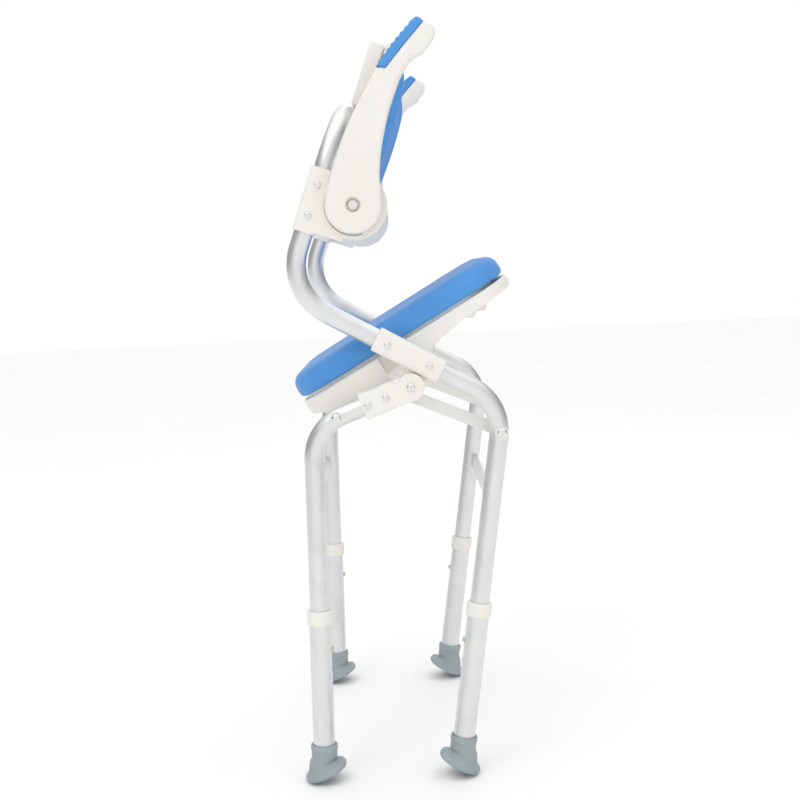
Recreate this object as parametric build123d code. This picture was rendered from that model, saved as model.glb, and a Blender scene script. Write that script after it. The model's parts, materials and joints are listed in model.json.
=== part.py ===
from build123d import *
import math
import os

os.makedirs("parts", exist_ok=True)

# Folding shower chair, drawn folded. Millimetres, +Z up, +X the way the user faces.
# It is laid out from the scissor pivot, where the front and rear frames cross, and
# moved at the end so that the folded chair stands on the floor with its box centred.

# Overall sizes
frame_width = 430.0  # between the middles of the two side tubes
pivot_height = 425.5  # scissor pivot above the floor when the chair is open
deck_rear = 199.0  # rear corner of the deck tube, behind the pivot
deck_front = 116.0  # front corner of the deck tube, ahead of the pivot
arm_reach = 137.7  # rear frame's corner, behind the pivot
loop_height = 244.5  # rear deck corner to the top of the back loop

# Angles of the folded frames, anticlockwise from +X, and how far each one opens
deck_angle = -29.5
back_angle = 69.5
front_leg_angle = -98.8
rear_arm_angle = 20.5
rear_leg_angle = -91.0
seat_angle = 29.5
armrest_angle = 66.3
front_opening = 28.5
rear_opening = 21.5

# Tubes
tube_outer = 25.4
tube_wall = 1.3
lower_wall = 1.35
slide_gap = 0.25  # radial, between the upper and lower tubes
rear_corner_bend = 70.0
front_corner_bend = 65.0
arm_bend = 60.0
loop_bend = 75.0
splice_at = 122.3  # splice between side tube and back loop, up from the rear deck corner
splice_length = 64.0
liner_wall = 1.6
fit = 0.05  # radial clearance of pieces that are fixed together

# Telescopic legs
collar_up = 213.0  # middle of the collar, up the leg from the sole
collar_height = 19.0
collar_wall = 2.4
collar_lip = 2.0
leg_overlap = 135.0  # upper tube inside the lower one, below the collar
hole_pitch = 25.4
hole_count = 5
first_hole = 43.0  # below the middle of the collar
hole_radius = 3.5
button_radius = 3.3
button_stand = 3.0

# Feet
foot_radius = 29.0
foot_rim = 9.0
foot_rim_round = 3.5
foot_lead = 4.0  # disc's middle, inward from the leg's line
foot_cone_height = 12.0
socket_wall = 3.5
socket_height = 41.0
sole_thickness = 12.0

# Linkage under the seat
seat_pivot_reach = 104.0  # scissor pivot to the seat's hinge, along the rear arm
link_pivot_reach = 131.7  # scissor pivot to the link's hinge on the front frame
seat_link_span = 73.0  # seat's hinge to the link's pin on the seat
link_width = 16.0
link_thickness = 4.0
link_inset = 5.0  # link bar, in from the tube
pin_radius = 3.0
pin_clearance = 0.8  # open pivot of the linkage, taken up by the pin's hole in the link

# Brackets on the side tubes
bracket_outer_wall = 4.3
bracket_inner_wall = 2.0
clamp_rear = 68.0
clamp_front = 26.5
clamp_wall = 3.3  # above and below the tube
clamp_gap = 1.2  # between the clamp and the rear lug
lug_radius = 17.0
rear_bracket_end = 67.7
rear_bracket_gap = 1.5  # between the rear sleeve and the clamp's lug
rear_bracket_wall = 4.8  # above and below the tube
rear_lug_thickness = 10.0
lug_gap = 0.5
clamp_lug_thickness = 13.0
screw_inset = 17.0  # bracket screws, in from the ends of the clamp
rear_screw_inset = 7.5  # bracket screws, in from the rear bracket's far end
rear_screw_start = 16.5  # and from its end at the pivot

# Armrests
hub_from_pivot = 197.0  # along the back tube's direction
hub_forward = 51.2  # ahead of the back tube's middle
hub_radius = 36.0
hub_plate_lip = 1.6  # plate beyond the raised rim
hub_plate_thickness = 10.0
sleeve_length = 83.6
sleeve_wall = 2.05
hub_rim_height = 3.2
hub_rim_width = 4.2
hub_rim_gap = 1.2
hub_rim_arc = (147.0, 284.0)  # where the rim runs round the armrest's hub
armrest_width = 28.0
armrest_gap = 1.0
armrest_bolt_radius = 4.0
bolt_head = 6.6
bolt_head_height = 4.2
bolt_recess = 8.4

# Seat, measured along and square to the seat from the scissor pivot
seat_rear = -136.5
seat_front = 185.5
seat_underside = 28.5
seat_nose = 37.0  # underside near the front edge
seat_rim = 54.0  # top of the shell's rim
seat_deck = 58.0  # raised part of the shell that carries the cushion
seat_crown = 90.0
seat_side_gap = 29.0  # seat shell's side, in from the tube's middle
pad_overhang = 3.5
seat_corner = 62.0
deck_inset = 7.0
shell_wall = 3.5
pad_gap = 0.3
lug_plate = 6.0
lug_clear = 0.6  # between seat lug and link bar

# Backrest, measured along and square to the back tube from the scissor pivot
back_low = 216.0
back_high = 431.0
back_gap = 0.5  # between the loop and the shell's rear face
back_radius = 585.0
back_wrap = 36.6  # degrees of arc that the shell covers
back_wall = 12.0
back_skin = 3.0
back_corner = 38.0
back_pad_thickness = 20.0
saddle_half = 18.0
saddle_width = 40.0
saddle_centre = 75.0

# Cross bars
bar_depth = 22.0
bar_thickness = 9.0
front_bar_at = 136.0  # down the leg from the frame corner
rear_bar_at = 107.0
bar_offset = 5.0

# Fasteners
screw_head = 4.6
screw_head_height = 2.2
screw_radius = 2.0
bolt_radius = 3.95
bolt_running = 0.05
hinge_bolt_radius = 3.0

half = frame_width / 2
tube_radius = tube_outer / 2
lower_outer = tube_outer + 2 * (slide_gap + lower_wall)
lower_radius = lower_outer / 2
collar_outer = lower_outer + 2 * collar_wall
socket_outer = lower_outer + 2 * socket_wall
bracket_outer = tube_radius + bracket_outer_wall
bracket_inner = tube_radius + bracket_inner_wall
clamp_half = tube_radius + clamp_wall
rear_bracket_half = tube_radius + rear_bracket_wall
rear_bracket_start = lug_radius + rear_bracket_gap
rear_lug_radius = rear_bracket_half + 0.3
deck_rise = rear_lug_radius + clamp_gap + clamp_half  # deck tube's middle above the pivot line
sleeve_half = tube_radius + sleeve_wall
seat_half_width = half - seat_side_gap
pad_half_width = seat_half_width + pad_overhang
inner_face = half - tube_radius  # inboard side of the tubes, from the middle plane
link_outer = inner_face - link_inset
link_inner = link_outer - link_thickness
seat_lug_outer = link_inner - lug_clear
seat_lug_inner = seat_lug_outer - lug_plate


def point(angle, along, across=0.0, start=(0.0, 0.0)):
    """Point in the XZ plane, along a direction and to the left of it."""
    c = math.cos(math.radians(angle))
    s = math.sin(math.radians(angle))
    return (start[0] + along * c - across * s, start[1] + along * s + across * c)


def turned(shape, angle, centre=(0.0, 0.0)):
    """Turn a shape drawn level, anticlockwise as seen with +X to the right, and place it."""
    return Pos(centre[0], 0, centre[1]) * Rot(0, -angle, 0) * shape


def slab(outline, outer, inner):
    """Plate on the right side of the chair, between two distances from the middle plane."""
    return extrude(Plane.XZ.offset(inner) * outline, amount=outer - inner)


def rod(radius, outer, inner, at=(0.0, 0.0)):
    """Round bar across the chair on its right side."""
    return slab(Pos(at[0], at[1]) * Circle(radius), outer, inner)


def hex_rod(radius, outer, inner, at=(0.0, 0.0)):
    return slab(Pos(at[0], at[1]) * RegularPolygon(radius, 6), outer, inner)


def block(x_range, z_range, y_range):
    """Box between given limits."""
    size = [b - a for a, b in (x_range, y_range, z_range)]
    middle = [(a + b) / 2 for a, b in (x_range, y_range, z_range)]
    return Pos(*middle) * Box(*size)


def bent_tube(corners, radii, outer, wall):
    """Round tube whose straight runs are joined by arcs."""
    path = FilletPolyline(*corners, radius=radii) if radii else Line(*corners)
    start = Plane(origin=path @ 0, z_dir=path % 0)
    ring = start * (Circle(outer / 2) - Circle(outer / 2 - wall))
    return sweep(ring, path=path)


def at_side(spot, y):
    return (spot[0], y, spot[1])


def button_head(radius, height, outer, at, socket):
    """Domed head with a hexagon socket, its flat side at the given distance."""
    head = rod(radius, outer + height, outer, at)
    rim = head.faces().sort_by(Axis.Y)[0].edges()
    head = fillet(rim, height * 0.8)
    return head - hex_rod(socket, outer + height, outer + height * 0.35, at)


def both(name, shape):
    """Store a right-hand piece and its mirror image."""
    nodes[name + "_right"] = shape
    nodes[name + "_left"] = mirror(shape, about=Plane.XZ)


def pair(shape):
    return [shape, mirror(shape, about=Plane.XZ)]


def face_of(lines):
    """Face bounded by lines, arcs and splines that run end to end."""
    return make_face(Wire([edge for line in lines for edge in line.edges()]))


nodes = {}

# Frame corners, pivots and leg lengths
rear_corner = point(deck_angle, -deck_rear, deck_rise)
front_corner = point(deck_angle, deck_front, deck_rise)
arm_corner = point(rear_arm_angle, -arm_reach)
loop_top = point(back_angle, loop_height, start=rear_corner)
splice = point(back_angle, splice_at, start=rear_corner)
open_front_corner = point(deck_angle + front_opening, deck_front, deck_rise)
open_arm_corner = point(rear_arm_angle - rear_opening, -arm_reach)
front_leg_open = math.radians(front_leg_angle + front_opening)
front_length = (pivot_height + open_front_corner[1]) / -math.sin(front_leg_open)
rear_length = (pivot_height + open_arm_corner[1]) / -math.sin(math.radians(rear_leg_angle - rear_opening))
back_line = point(-back_angle, *rear_corner)[1]  # back tube's middle, square to its own line

seat_pivot = point(rear_arm_angle, -seat_pivot_reach)
link_pivot = point(deck_angle + front_opening, link_pivot_reach)
link_pivot = point(-front_opening, *link_pivot)
link_length = seat_pivot_reach + link_pivot_reach - seat_link_span
front_collar_at = front_length - collar_up  # down the leg from the frame corner
rear_collar_at = rear_length - collar_up


def meeting(a, a_reach, b, b_reach):
    """Upper crossing of two circles."""
    gap = math.dist(a, b)
    swing = math.acos((a_reach**2 + gap**2 - b_reach**2) / (2 * a_reach * gap))
    base = math.atan2(b[1] - a[1], b[0] - a[0])
    return point(math.degrees(base + swing), a_reach, start=a)


seat_pin = meeting(seat_pivot, seat_link_span, link_pivot, link_length)


def seat_local(spot):
    return point(-seat_angle, *spot)


# Side tubes: front leg, deck and lower back in one piece
front_tip = point(front_leg_angle, front_collar_at + leg_overlap, start=front_corner)
side_corners = [at_side(spot, -half) for spot in (splice, rear_corner, front_corner, front_tip)]
side_tube = bent_tube(side_corners, [rear_corner_bend, front_corner_bend], tube_outer, tube_wall)
solid_side = bent_tube(side_corners, [rear_corner_bend, front_corner_bend], tube_outer, tube_radius - 1)
side_tube -= rod(hinge_bolt_radius + fit, half + tube_outer, half - tube_outer, link_pivot)
clamp_screws = [
    point(deck_angle, along, deck_rise)
    for along in (screw_inset - clamp_rear, clamp_front - screw_inset)
]
sleeve_screws = [point(back_angle, along, start=splice) for along in (20.0, -20.0)]
for spot in clamp_screws + sleeve_screws[1:]:
    side_tube -= rod(screw_radius + fit, half + tube_outer, half, spot)
both("side_tube", side_tube)

# Back loop, spliced to the side tubes inside the armrest sleeves
loop_corners = [
    at_side(splice, -half),
    at_side(loop_top, -half),
    at_side(loop_top, half),
    at_side(splice, half),
]
back_loop = bent_tube(loop_corners, [loop_bend, loop_bend], tube_outer, tube_wall)
for sign in (-1, 1):
    hole = rod(screw_radius + fit, half + tube_outer, half, sleeve_screws[0])
    back_loop -= hole if sign < 0 else mirror(hole, about=Plane.XZ)
nodes["back_loop"] = back_loop

liner_ends = [point(back_angle, s * splice_length / 2, start=splice) for s in (-1, 1)]
liner_outer = tube_outer - 2 * tube_wall - 2 * fit
liner = bent_tube([at_side(end, -half) for end in liner_ends], None, liner_outer, liner_wall)
for spot in sleeve_screws:
    liner -= rod(screw_radius + fit, half + tube_outer, half, spot)
nodes["splice_tubes"] = Compound(children=pair(liner))

# Rear tubes: arm and rear leg in one piece
arm_start = point(rear_arm_angle, -rear_bracket_start - 8)
rear_tip = point(rear_leg_angle, rear_collar_at + leg_overlap, start=arm_corner)
rear_corners = [at_side(spot, -half) for spot in (arm_start, arm_corner, rear_tip)]
rear_tube = bent_tube(rear_corners, [arm_bend], tube_outer, tube_wall)
solid_rear = bent_tube(rear_corners, [arm_bend], tube_outer, tube_radius - 1)
rear_tube -= rod(hinge_bolt_radius + fit, half + tube_outer, half - tube_outer, seat_pivot)
rear_screws = [
    point(rear_arm_angle, along)
    for along in (rear_screw_inset - rear_bracket_end, -rear_bracket_start - rear_screw_start)
]
for spot in rear_screws:
    rear_tube -= rod(screw_radius + fit, half + tube_outer, half, spot)
both("rear_tube", rear_tube)

# Deck clamps with the lug that reaches down to the scissor pivot
clamp_body = block(
    (-clamp_rear, clamp_front),
    (deck_rise - clamp_half, deck_rise + clamp_half),
    (-half - bracket_outer, -half + bracket_inner),
)
clamp_body = fillet(clamp_body.edges().filter_by(Axis.X), 8.0)
clamp_body = fillet(clamp_body.faces().sort_by(Axis.X)[0].edges(), 1.0)
clamp_body = fillet(clamp_body.faces().sort_by(Axis.X)[-1].edges(), 1.0)
lug_face = half + bracket_outer - rear_lug_thickness - lug_gap
clamp_lug = slab(
    Circle(lug_radius) + Pos(0, deck_rise / 2) * Rectangle(2 * lug_radius, deck_rise),
    lug_face,
    lug_face - clamp_lug_thickness,
)
clamp_lug = fillet(clamp_lug.edges().filter_by(GeomType.CIRCLE), 1.2)
front_clamp = clamp_body + clamp_lug
front_clamp -= Pos(0, -half, deck_rise) * Rot(0, 90, 0) * Cylinder(tube_radius + fit, 300)
front_clamp -= rod(bolt_radius + bolt_running, half + 40, half - 40)
front_clamp = turned(front_clamp, deck_angle)
for spot in clamp_screws:
    front_clamp -= rod(screw_radius + fit, half + 40, half, spot)
both("front_clamp", front_clamp)

# Rear brackets: sleeve on the arm and an outer lug on the scissor pivot
rear_sleeve = block(
    (-rear_bracket_end, -rear_bracket_start),
    (-rear_bracket_half, rear_bracket_half),
    (-half - bracket_outer, -half + bracket_inner),
)
rear_sleeve = fillet(rear_sleeve.edges().filter_by(Axis.X), 6.0)
rear_sleeve = fillet(rear_sleeve.faces().sort_by(Axis.X)[0].edges(), 1.0)
rear_lug = slab(
    Circle(rear_lug_radius)
    + Pos(-rear_bracket_start / 2 - 4, -2) * Rectangle(rear_bracket_start + 8, 2 * rear_bracket_half - 6),
    half + bracket_outer,
    half + bracket_outer - rear_lug_thickness,
)
rear_bracket = rear_sleeve + rear_lug
tube_space = Pos(-60 - rear_bracket_start - 5, -half, 0) * Rot(0, 90, 0)
rear_bracket -= tube_space * Cylinder(tube_radius + fit, 120)
rear_bracket -= rod(bolt_radius + bolt_running, half + 40, half - 40)
rear_bracket = turned(rear_bracket, rear_arm_angle)
for spot in rear_screws:
    rear_bracket -= rod(screw_radius + fit, half + 40, half, spot)
both("rear_bracket", rear_bracket)


# Scissor bolts
def hardware(head_radius, head_height, shank_radius, head_at, end_at, spot, socket):
    """Button-head bolt across one side of the chair."""
    shank = rod(shank_radius, head_at, end_at, spot)
    return button_head(head_radius, head_height, head_at, spot, socket) + shank


def hex_nut(radius, bore, outer, inner, spot):
    return hex_rod(radius, outer, inner, spot) - rod(bore, outer, inner, spot)


def spacer(radius, bore, outer, inner, spot):
    return rod(radius, outer, inner, spot) - rod(bore, outer, inner, spot)


nut_outer = lug_face - clamp_lug_thickness
origin = (0.0, 0.0)
scissor_bolt = hardware(5.6, 3.2, bolt_radius, half + bracket_outer, nut_outer - 4.6, origin, 2.4)
nodes["scissor_bolts"] = Compound(children=pair(scissor_bolt))
scissor_nut = hex_nut(6.8, bolt_radius + fit, nut_outer, nut_outer - 4.8, origin)
nodes["scissor_nuts"] = Compound(children=pair(scissor_nut))

# Link bars and their bolts on the front frame
link_angle = math.degrees(math.atan2(seat_pin[1] - link_pivot[1], seat_pin[0] - link_pivot[0]))
link_shape = SlotCenterToCenter(link_length, link_width)
link_bar = slab(Pos(link_length / 2, 0) * link_shape, link_outer, link_inner)
link_bar = fillet(link_bar.edges().filter_by(Axis.X), 1.2)
link_bar -= rod(hinge_bolt_radius + bolt_running, link_outer + 5, link_inner - 5)
link_bar -= rod(pin_radius + pin_clearance, link_outer + 5, link_inner - 5, (link_length, 0))
both("link_bar", turned(link_bar, link_angle, link_pivot))

washer_face = half + tube_radius
washer_height = 1.4


def hinge_hardware(spot, nut_at):
    """Washer, bolt and nut through a side tube; returned as bolt and nut."""
    cap = rod(9.0, washer_face + washer_height, washer_face - 3.0, spot)
    cap -= rod(hinge_bolt_radius + fit, half + 40, half - 40, spot)
    head_at = washer_face + washer_height
    bolt = hardware(6.6, 4.2, hinge_bolt_radius, head_at, nut_at - 4.4, spot, 2.9)
    nut = hex_nut(6.0, hinge_bolt_radius + fit, nut_at, nut_at - 4.5, spot)
    return cap, bolt, nut


link_washer, link_bolt, link_nut = hinge_hardware(link_pivot, link_inner - 0.3)
link_washer -= solid_side
nodes["link_washers"] = Compound(children=pair(link_washer.solids().sort_by(Axis.Y)[0]))
nodes["link_bolts"] = Compound(children=pair(link_bolt))
nodes["link_nuts"] = Compound(children=pair(link_nut))
link_spacer = spacer(6.5, hinge_bolt_radius + fit, inner_face + 1.5, link_outer + 0.3, link_pivot)
link_spacer -= solid_side
nodes["link_spacers"] = Compound(children=pair(link_spacer.solids().sort_by(Axis.Y)[-1]))

# Seat hinge hardware on the rear tubes
seat_washer, seat_bolt, seat_nut = hinge_hardware(seat_pivot, seat_lug_inner - 0.3)
seat_washer -= solid_rear
nodes["seat_washers"] = Compound(children=pair(seat_washer.solids().sort_by(Axis.Y)[0]))
nodes["seat_bolts"] = Compound(children=pair(seat_bolt))
nodes["seat_nuts"] = Compound(children=pair(seat_nut))
seat_spacer = spacer(6.5, hinge_bolt_radius + fit, inner_face + 1.5, seat_lug_outer + 0.3, seat_pivot)
seat_spacer -= solid_rear
nodes["seat_spacers"] = Compound(children=pair(seat_spacer.solids().sort_by(Axis.Y)[-1]))

# Seat shell, moulded hollow, with hinge lugs and a finger grip
seat_length = seat_front - seat_rear
seat_middle = (seat_front + seat_rear) / 2
shell_plan = RectangleRounded(seat_length, 2 * seat_half_width, seat_corner)
shell_side = [
    (seat_rear, seat_rim),
    (seat_rear, seat_underside + 5.5),
    (seat_rear + 18, seat_underside),
    (seat_front - 125, seat_underside),
    (seat_front - 80, seat_nose - 1),
    (seat_front - 6, seat_nose + 2),
    (seat_front, seat_nose + 8),
    (seat_front, seat_rim),
]
shell = slab(make_face(Polyline(*shell_side, close=True)), seat_half_width, -seat_half_width)
shell = Pos(seat_middle, 0, 0) * extrude(shell_plan, amount=100) & shell
shell = fillet(shell.faces().sort_by(Axis.Z)[-1].edges(), 2.5)
deck_plan = RectangleRounded(
    seat_length - 4 * deck_inset, 2 * (seat_half_width - deck_inset), seat_corner - deck_inset
)
deck_height = seat_deck - seat_rim
shell += Pos(seat_middle - deck_inset, 0, seat_rim - 1) * extrude(deck_plan, amount=deck_height + 1)
cavity_side = [
    (seat_rear, seat_deck - shell_wall),
    (seat_rear, seat_underside + shell_wall + 5.5),
    (seat_rear + 18, seat_underside + shell_wall),
    (seat_front - 125, seat_underside + shell_wall),
    (seat_front - 80, seat_nose + shell_wall),
    (seat_front, seat_nose + shell_wall + 3),
    (seat_front, seat_deck - shell_wall),
]
cavity_inset = deck_inset + shell_wall
cavity_plan = RectangleRounded(
    seat_length - 4 * cavity_inset, 2 * (seat_half_width - cavity_inset), seat_corner - cavity_inset
)
cavity = slab(make_face(Polyline(*cavity_side, close=True)), seat_half_width, -seat_half_width)
shell -= Pos(seat_middle - deck_inset, 0, 0) * extrude(cavity_plan, amount=100) & cavity
vent_radius = 1.2
for x in (seat_rear + 60, seat_front - 140):
    shell -= Pos(x, 0, seat_underside) * Cylinder(vent_radius, 2 * shell_wall + 2)
groove_depth = 1.4
groove_half = 4.0
groove_count = 4
groove_reach = seat_half_width - 45
for index in range(groove_count):
    x = seat_rear + 45 + index * 36
    shell -= block(
        (x - groove_half, x + groove_half),
        (seat_underside - 1, seat_underside + groove_depth),
        (-groove_reach, groove_reach),
    )
grip_front = seat_front - 35.5
grip_span = 110.0
grip_top = seat_nose + 3
teeth = [
    (grip_front, grip_top),
    (grip_front, seat_underside + 8),
    (grip_front - 12, seat_underside - 3),
    (grip_front - 22.5, seat_underside + 2.5),
    (grip_front - 30, seat_underside - 3),
    (grip_front - 39, seat_underside + 2.5),
    (grip_front - 43, grip_top),
]
grip = slab(make_face(Polyline(*teeth, close=True)), grip_span, -grip_span)
grip = fillet(grip.edges().filter_by(Axis.Y).sort_by(Axis.Z)[:4], 2.5)
shell += grip
lug_spots = [seat_local(seat_pivot), seat_local(seat_pin)]
lug_bottom = min(spot[1] for spot in lug_spots)
lug_half = 11.5
lug_shape = Pos(*lug_spots[0]) * Circle(lug_half) + Pos(*lug_spots[1]) * Circle(lug_half)
lug_middle = (lug_spots[0][0] + lug_spots[1][0]) / 2
lug_top = seat_deck - 6
lug_shape += Pos(lug_middle, (lug_bottom + lug_top) / 2) * Rectangle(
    abs(lug_spots[1][0] - lug_spots[0][0]) + 2 * lug_half, lug_top - lug_bottom
)
lug = slab(lug_shape, seat_lug_outer, seat_lug_inner)
lug += slab(
    Pos(lug_middle, (seat_underside + 12 + lug_top) / 2)
    * Rectangle(seat_link_span + 2 * lug_half, lug_top - seat_underside - 12),
    seat_lug_inner,
    seat_half_width - 4,
)
for side in pair(lug):
    shell += side
shell = turned(shell, seat_angle)
for spot, radius in ((seat_pivot, hinge_bolt_radius + bolt_running), (seat_pin, pin_radius + fit)):
    for side in pair(rod(radius, seat_lug_outer + 5, seat_lug_inner - 30, spot)):
        shell -= side
nodes["seat_shell"] = shell

pad_plan = RectangleRounded(seat_length - 2, 2 * pad_half_width, seat_corner)
pad_base = seat_deck + pad_gap
pad = Pos(seat_middle, 0, pad_base) * extrude(pad_plan, amount=seat_crown - pad_base)
pad = fillet(pad.faces().sort_by(Axis.Z)[-1].edges(), 15.0)
nodes["seat_pad"] = turned(pad, seat_angle)

link_pin = rod(pin_radius, link_outer + 0.2, seat_lug_inner - 1.5, seat_pin)
link_pin += rod(5.2, link_outer + 1.6, link_outer + 0.2, seat_pin)
nodes["link_pins"] = Compound(children=pair(link_pin))

# Armrest sleeves with the hub plate
hub = point(back_angle, hub_from_pivot, back_line - hub_forward)
splice_up = point(90 - back_angle, *splice)
hub_level = point(90 - back_angle, *hub)
sleeve_low = splice_up[1] - sleeve_length / 2
sleeve_high = splice_up[1] + sleeve_length / 2
sleeve = block(
    (splice_up[0] - sleeve_half, splice_up[0] + sleeve_half),
    (sleeve_low, sleeve_high),
    (-half - bracket_outer, -half + bracket_inner),
)
sleeve = fillet(sleeve.edges().filter_by(Axis.Z), 6.0)
rim_outer = hub_radius + hub_rim_gap + hub_rim_width
plate_inner = half + bracket_outer - hub_plate_thickness
plate = rod(rim_outer + hub_plate_lip, half + bracket_outer, plate_inner, hub_level)
plate = fillet(plate.faces().sort_by(Axis.Y)[0].edges(), 2.0)
web_shape = Pos((splice_up[0] + hub_level[0]) / 2, splice_up[1] - 4) * Rectangle(
    hub_level[0] - splice_up[0], sleeve_length - 14
)
plate += slab(web_shape, half + bracket_outer, plate_inner)
rim_face = half + bracket_outer + hub_rim_height
rim = rod(rim_outer, rim_face, rim_face - hub_rim_height - 2, hub_level)
rim -= rod(rim_outer - hub_rim_width, rim_face, rim_face - hub_rim_height - 2, hub_level)
rim_arc = [angle + 90 - back_angle for angle in hub_rim_arc]
rim_steps = 6
rim_reach = 2 * rim_outer
fan = [hub_level]
for step in range(rim_steps + 1):
    turn = rim_arc[0] + (rim_arc[1] - rim_arc[0]) * step / rim_steps
    fan.append(point(turn, rim_reach, start=hub_level))
rim = rim & slab(make_face(Polyline(*fan, close=True)), rim_face, rim_face - hub_rim_height - 2)
rim = fillet(rim.faces().sort_by(Axis.Y)[0].edges().filter_by(GeomType.CIRCLE), 1.4)
armrest_bracket = sleeve + plate + rim
armrest_bracket -= Pos(splice_up[0], -half, splice_up[1]) * Cylinder(tube_radius + fit, 200)
armrest_bracket -= rod(armrest_bolt_radius + fit, half + 40, half - 40, hub_level)
armrest_bracket = turned(armrest_bracket, back_angle - 90)
for spot in sleeve_screws:
    armrest_bracket -= rod(screw_radius + fit, half + 40, half, spot)
both("armrest_bracket", armrest_bracket)

# Armrests: hub, broad blade and a turned-out tip with a soft pad along its outer edge
arm_inner = half + bracket_outer + armrest_gap
arm_outer = arm_inner + armrest_width
front_edge = [(20.0, -30.0), (51.0, -16.0), (102.0, -3.2), (150.0, 1.2), (176.0, 0.8), (199.0, -3.0)]
tip_edge = [(199.0, -3.0), (222.0, -17.0), (237.0, -18.5), (246.0, -8.0), (247.0, 3.0)]
pad_seat = [(247.0, 3.0), (246.0, 5.0), (205.0, 13.5), (171.0, 22.0), (168.0, 33.5)]
back_edge = [(168.0, 33.5), (120.0, 39.0), (84.0, 41.8), (33.0, 40.0), (0.0, 35.0)]
arm_wire = [
    Spline(*front_edge),
    Spline(*tip_edge),
    Polyline(*pad_seat),
    Spline(*back_edge),
    Line(back_edge[-1], front_edge[0]),
]
arm_shape = face_of(arm_wire) + Circle(hub_radius)
armrest = slab(arm_shape, arm_outer, arm_inner)
armrest -= rod(armrest_bolt_radius + bolt_running, arm_outer, arm_inner)
head_recess = 6.0
armrest -= rod(bolt_recess, arm_outer, arm_outer - head_recess)
both("armrest", turned(armrest, armrest_angle, hub))

pad_edge = [(168.0, 33.8), (190.0, 29.0), (220.0, 21.5), (247.0, 11.0)]
pad_wire = [
    Polyline(*pad_seat[1:]),
    Line(pad_seat[-1], pad_edge[0]),
    Spline(*pad_edge),
    Line(pad_edge[-1], pad_seat[1]),
]
arm_pad = slab(face_of(pad_wire), arm_outer, arm_inner)
both("armrest_pad", turned(arm_pad, armrest_angle, hub))

bolt_face = arm_outer - head_recess
armrest_bolt = hex_rod(bolt_head, bolt_face + bolt_head_height, bolt_face, hub)
armrest_bolt = chamfer(armrest_bolt.faces().sort_by(Axis.Y)[0].edges(), 0.8)
armrest_bolt -= rod(bolt_head / 2.4, bolt_face + bolt_head_height, bolt_face + 2.4, hub)
armrest_bolt += rod(armrest_bolt_radius, bolt_face, plate_inner - 6, hub)
nodes["armrest_bolts"] = Compound(children=pair(armrest_bolt))
armrest_nut = hex_nut(
    7.4,
    armrest_bolt_radius + fit,
    plate_inner,
    plate_inner - 5.5,
    hub,
)
nodes["armrest_nuts"] = Compound(children=pair(armrest_nut))
washer_gap = 0.05
armrest_washer = spacer(
    14.0, armrest_bolt_radius + fit, arm_inner - washer_gap, half + bracket_outer + washer_gap, hub
)
nodes["armrest_washers"] = Compound(children=pair(armrest_washer))

# Screws that hold the brackets to the tubes
screw_face = half + bracket_outer


def bracket_screw(spot):
    return hardware(screw_head, screw_head_height, screw_radius, screw_face, half + 9.0, spot, 1.6)


front_fixings = [screw for spot in clamp_screws + sleeve_screws for screw in pair(bracket_screw(spot))]
nodes["frame_screws"] = Compound(children=front_fixings)
rear_fixings = [screw for spot in rear_screws for screw in pair(bracket_screw(spot))]
nodes["rear_bracket_screws"] = Compound(children=rear_fixings)

# Backrest, drawn upright and turned about a far vertical axis so that it wraps forward
loop_level = point(90 - back_angle, *loop_top)
back_x = loop_level[0] + tube_radius + back_gap
wrap_axis = Axis((back_x + back_radius, 0, 0), (0, 0, 1))


def wrapped(outline, arc):
    """Revolve a side outline evenly to both sides of the middle plane."""
    body = revolve(make_face(outline), axis=wrap_axis, revolution_arc=arc)
    return body.rotate(wrap_axis, -arc / 2)


def outline_xz(spots):
    return Polyline(*[(x, 0, z) for x, z in spots], close=True)


back_half_width = (back_radius - back_wall - back_pad_thickness) * math.sin(math.radians(back_wrap / 2))


def rounded(body, low, high, inset):
    """Round the corners of a wrapped panel, as seen from the front."""
    plan = RectangleRounded(2 * (back_half_width - inset), high - low, back_corner - inset)
    plan = Plane.YZ * Pos(0, (low + high) / 2) * plan
    return body & Pos(back_x - 60, 0, 0) * extrude(plan, amount=260)


shell_front = back_x + back_wall
back_shell = wrapped(
    outline_xz([(back_x, back_low), (shell_front, back_low), (shell_front, back_high), (back_x, back_high)]),
    back_wrap,
)
back_shell = rounded(back_shell, back_low, back_high, 0)
housing_half = 105.0
housing_back = loop_level[0] + 1.0
back_shell += block(
    (housing_back, back_x + 1),
    (loop_level[1] + saddle_half + 1, back_high),
    (-housing_half, housing_half),
)
cavity_low = back_low + back_skin
cavity_high = back_high - back_skin
cavity_back = back_x + back_skin
cavity_front = shell_front - back_skin
cavity = wrapped(
    outline_xz(
        [
            (cavity_back, cavity_low),
            (cavity_front, cavity_low),
            (cavity_front, cavity_high),
            (cavity_back, cavity_high),
        ]
    ),
    back_wrap,
)
back_shell -= rounded(cavity, cavity_low, cavity_high, back_skin)
back_shell -= Pos(back_x + back_wall / 2, 0, back_low) * Cylinder(vent_radius, 3 * back_skin)
nodes["backrest_shell"] = turned(back_shell, back_angle - 90)

# Saddles that hold the shell on the top of the loop
loop_space = Pos(loop_level[0], 0, loop_level[1]) * Rot(90, 0, 0) * Cylinder(tube_radius + fit, 600)
seat_gap = 0.1
shell_zone = wrapped(
    outline_xz(
        [
            (back_x - seat_gap, back_low),
            (shell_front + 40, back_low),
            (shell_front + 40, back_high),
            (back_x - seat_gap, back_high),
        ]
    ),
    back_wrap,
)
saddles = []
for y in (-saddle_centre, saddle_centre):
    saddle = block(
        (loop_level[0] - 6, back_x + 12),
        (loop_level[1] - saddle_half, loop_level[1] + saddle_half),
        (y - saddle_width / 2, y + saddle_width / 2),
    )
    saddles.append(turned(saddle - loop_space - shell_zone, back_angle - 90))
nodes["backrest_saddles"] = Compound(children=saddles)

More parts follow.
